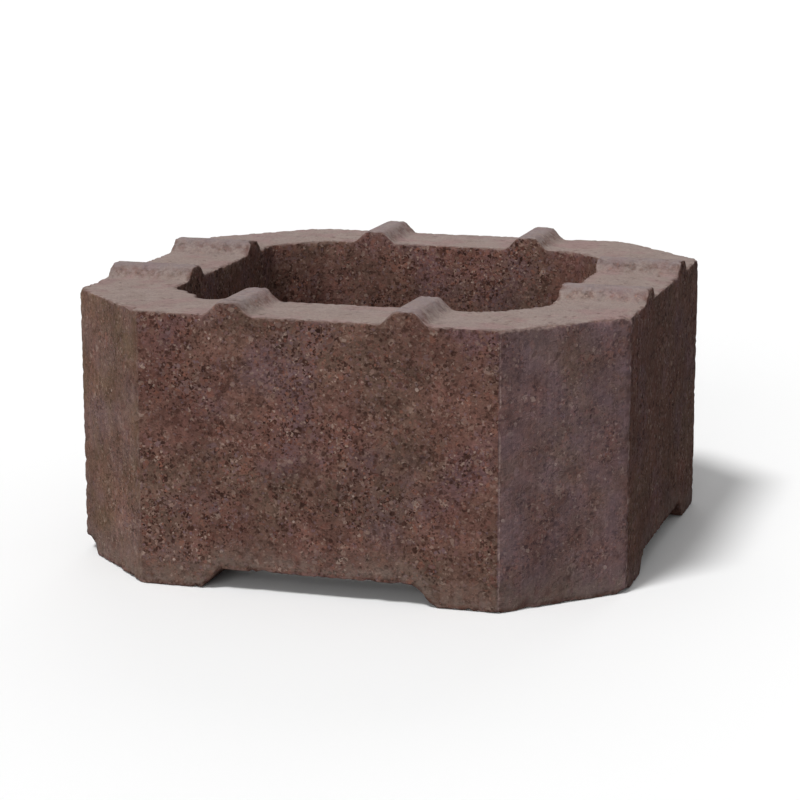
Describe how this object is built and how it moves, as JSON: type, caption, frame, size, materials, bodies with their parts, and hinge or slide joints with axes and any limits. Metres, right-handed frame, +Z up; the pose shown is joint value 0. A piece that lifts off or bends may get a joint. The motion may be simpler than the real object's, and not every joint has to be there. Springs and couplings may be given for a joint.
{
  "type": "magnesia checker brick",
  "caption": "Octagonal ring-shaped refractory brick with a square flue, feet at its corners, notches under its long walls and locking ridges on top.",
  "frame": {"origin": "on the axis of the flue, level with the soles of the four feet, where the brick rests", "axes": "+Z up along the flue, towards the ridges; the four long walls face +X, -X, +Y and -Y"},
  "size_m": [0.25, 0.25, 0.1255],
  "materials": {
    "fired_magnesia": "matte"
  },
  "bodies": {
    "root": {"brick": "fired_magnesia"}
  },
  "joints": []
}
